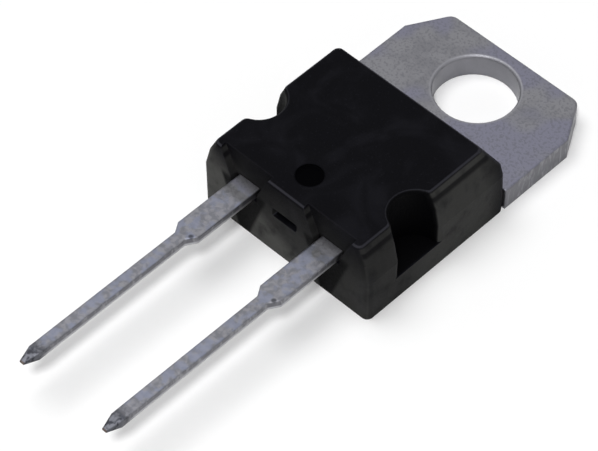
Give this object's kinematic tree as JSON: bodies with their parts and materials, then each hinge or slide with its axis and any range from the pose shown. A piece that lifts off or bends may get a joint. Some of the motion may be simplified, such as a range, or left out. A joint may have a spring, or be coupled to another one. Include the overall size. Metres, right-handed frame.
{
  "type": "rectifier diode",
  "caption": "Through-hole power rectifier diode: black moulded body with side grooves, bare screw-down metal tab and flat leads that narrow from wide shoulders.",
  "frame": {"origin": "on the axis of the tab's mounting hole, in the plane of the metal back face", "axes": "+Z out of the back face towards the moulded top, +Y from the leads to the tab's end, +X across the leads from the cathode lead to the anode lead"},
  "size_m": [0.0102, 0.0288, 0.0045],
  "materials": {
    "moulding_compound": "black glass-filled epoxy, fine matt mould texture",
    "tinned_copper": "matt tin plate over copper, dull grey",
    "silicon": "polished silicon with an aluminium top contact",
    "solder": "high-lead solder, satin",
    "bond_wire": "drawn aluminium wire, bright"
  },
  "bodies": {
    "root": {"moulded_body": "moulding_compound", "cathode_frame": "tinned_copper", "anode_lead": "tinned_copper", "rectifier_chip": "silicon", "chip_solder": "solder", "bond_wire_inner": "bond_wire", "bond_wire_outer": "bond_wire"}
  },
  "joints": []
}
